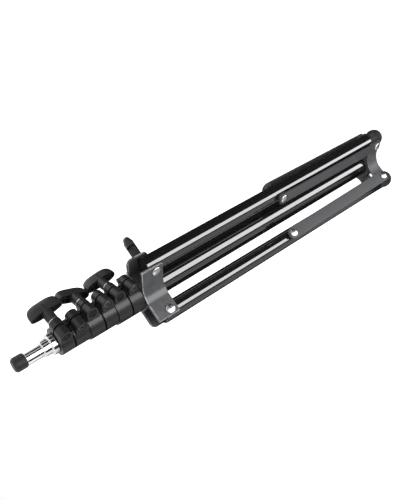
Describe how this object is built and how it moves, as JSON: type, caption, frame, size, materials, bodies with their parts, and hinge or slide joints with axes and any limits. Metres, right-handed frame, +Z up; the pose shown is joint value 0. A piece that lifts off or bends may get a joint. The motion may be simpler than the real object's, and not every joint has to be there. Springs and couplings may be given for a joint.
{
  "type": "light stand",
  "caption": "Black telescopic light stand with a folding leg base, clamp collars with T-handles and a bright spigot under a screw cap, folded.",
  "frame": {"origin": "centre of the foot plug's flat end, at the bottom of the column", "axes": "+Z up the column towards the spigot; +X over the middle of leg 1"},
  "size_m": [0.0928, 0.1146, 0.6554],
  "materials": {
    "gloss_black": "gloss black coat",
    "satin_casting": "satin dark grey casting",
    "matt_plastic": "satin black",
    "brace_paint": "semi-gloss black",
    "rubber": "matt black",
    "bright_steel": "bright plated",
    "dark_steel": "blackened",
    "pale_nylon": "natural nylon"
  },
  "bodies": {
    "column": {"base_tube": "gloss_black", "column_plug": "matt_plastic", "base_collar": "matt_plastic", "base_clamp_bolt": "dark_steel", "base_washer": "bright_steel", "base_fixing_screw": "bright_steel", "base_fixing_nut": "dark_steel", "bracket": "satin_casting", "bracket_rivet_1_left": "bright_steel", "bracket_rivet_1_right": "bright_steel", "bracket_rivet_2_left": "bright_steel", "bracket_rivet_2_right": "bright_steel", "bracket_rivet_3_left": "bright_steel", "bracket_rivet_3_right": "bright_steel"},
    "riser_1": {"riser_1": "gloss_black", "bush_1": "pale_nylon", "middle_collar": "matt_plastic", "middle_clamp_bolt": "dark_steel", "middle_washer": "bright_steel", "middle_fixing_screw": "bright_steel", "middle_fixing_nut": "dark_steel"},
    "riser_2": {"riser_2": "gloss_black", "bush_2": "pale_nylon", "top_collar": "matt_plastic", "top_clamp_bolt": "dark_steel", "top_washer": "bright_steel", "top_fixing_screw": "bright_steel", "top_fixing_nut": "dark_steel"},
    "riser_3": {"riser_3": "gloss_black", "bush_3": "pale_nylon", "spigot": "bright_steel"},
    "cap": {"thread_cap": "matt_plastic"},
    "base_knob": {"base_knob": "matt_plastic"},
    "middle_knob": {"middle_knob": "matt_plastic"},
    "top_knob": {"top_knob": "matt_plastic"},
    "yoke": {"yoke": "satin_casting", "yoke_washer": "bright_steel", "yoke_rivet_1": "bright_steel", "yoke_rivet_2": "bright_steel", "yoke_rivet_3": "bright_steel"},
    "yoke_lock": {"yoke_knob": "matt_plastic", "yoke_lock_screw": "dark_steel"},
    "leg_1": {"leg_tube_1": "gloss_black", "leg_plug_1": "matt_plastic", "foot_1": "rubber", "leg_rivet_1": "bright_steel"},
    "brace_1": {"brace_1_left": "brace_paint", "brace_1_right": "brace_paint"},
    "leg_2": {"leg_tube_2": "gloss_black", "leg_plug_2": "matt_plastic", "foot_2": "rubber", "leg_rivet_2": "bright_steel"},
    "brace_2": {"brace_2_left": "brace_paint", "brace_2_right": "brace_paint"},
    "leg_3": {"leg_tube_3": "gloss_black", "leg_plug_3": "matt_plastic", "foot_3": "rubber", "leg_rivet_3": "bright_steel"},
    "brace_3": {"brace_3_left": "brace_paint", "brace_3_right": "brace_paint"}
  },
  "joints": [
    {"name": "base_fold", "type": "hinge", "parent": "column", "child": "brace_1", "pos_m": [0.0378, 0, 0.0105], "axis": [0, 1, 0], "range_deg": [0, 60]},
    {"name": "leg_1_on_brace", "type": "hinge", "parent": "brace_1", "child": "leg_1", "pos_m": [0.03936, 0, 0.23449], "axis": [0, -1, 0], "range_deg": [0, 120]},
    {"name": "yoke_on_leg_1", "type": "hinge", "parent": "leg_1", "child": "yoke", "pos_m": [0.0378, 0, 0.45849], "axis": [0, 1, 0], "range_deg": [0, 60]},
    {"name": "leg_2_on_yoke", "type": "hinge", "parent": "yoke", "child": "leg_2", "pos_m": [-0.0189, 0.03274, 0.45849], "axis": [0.866, 0.5, 0], "range_deg": [0, 60]},
    {"name": "brace_2_on_bracket", "type": "hinge", "parent": "column", "child": "brace_2", "pos_m": [-0.0189, 0.03274, 0.0105], "axis": [-0.866, -0.5, 0], "range_deg": [0, 60]},
    {"name": "leg_3_on_yoke", "type": "hinge", "parent": "yoke", "child": "leg_3", "pos_m": [-0.0189, -0.03274, 0.45849], "axis": [-0.866, 0.5, 0], "range_deg": [0, 60]},
    {"name": "brace_3_on_bracket", "type": "hinge", "parent": "column", "child": "brace_3", "pos_m": [-0.0189, -0.03274, 0.0105], "axis": [0.866, -0.5, 0], "range_deg": [0, 60]},
    {"name": "riser_1_slide", "type": "slide", "parent": "column", "child": "riser_1", "axis": [0, 0, 1], "range_m": [0, 0.38]},
    {"name": "riser_2_slide", "type": "slide", "parent": "riser_1", "child": "riser_2", "axis": [0, 0, 1], "range_m": [0, 0.39]},
    {"name": "riser_3_slide", "type": "slide", "parent": "riser_2", "child": "riser_3", "axis": [0, 0, 1], "range_m": [0, 0.4]},
    {"name": "base_knob_turn", "type": "hinge", "parent": "column", "child": "base_knob", "pos_m": [0.02198, 0.00309, 0.50759], "axis": [-0.1392, 0.9903, 0], "range_deg": [0, 80]},
    {"name": "middle_knob_turn", "type": "hinge", "parent": "riser_1", "child": "middle_knob", "pos_m": [0.02109, 0.00296, 0.54499], "axis": [-0.1392, 0.9903, 0], "range_deg": [0, 80]},
    {"name": "top_knob_turn", "type": "hinge", "parent": "riser_2", "child": "top_knob", "pos_m": [0.01931, -0.00271, 0.58289], "axis": [0.1392, 0.9903, 0], "range_deg": [-80, 0]},
    {"name": "yoke_lock_turn", "type": "hinge", "parent": "yoke", "child": "yoke_lock", "pos_m": [0.019, 0.03291, 0.44849], "axis": [0.5, 0.866, 0], "range_deg": [-360, 0]},
    {"name": "cap_turn", "type": "hinge", "parent": "riser_3", "child": "cap", "pos_m": [0, 0, 0.62679], "axis": [0, 0, 1], "continuous": true}
  ],
  "couplings": [
    {"joint": "leg_1_on_brace", "follows": "base_fold", "ratio": 2},
    {"joint": "yoke_on_leg_1", "follows": "base_fold", "ratio": 1},
    {"joint": "leg_2_on_yoke", "follows": "base_fold", "ratio": 1},
    {"joint": "brace_2_on_bracket", "follows": "base_fold", "ratio": 1},
    {"joint": "leg_3_on_yoke", "follows": "base_fold", "ratio": 1},
    {"joint": "brace_3_on_bracket", "follows": "base_fold", "ratio": 1}
  ]
}
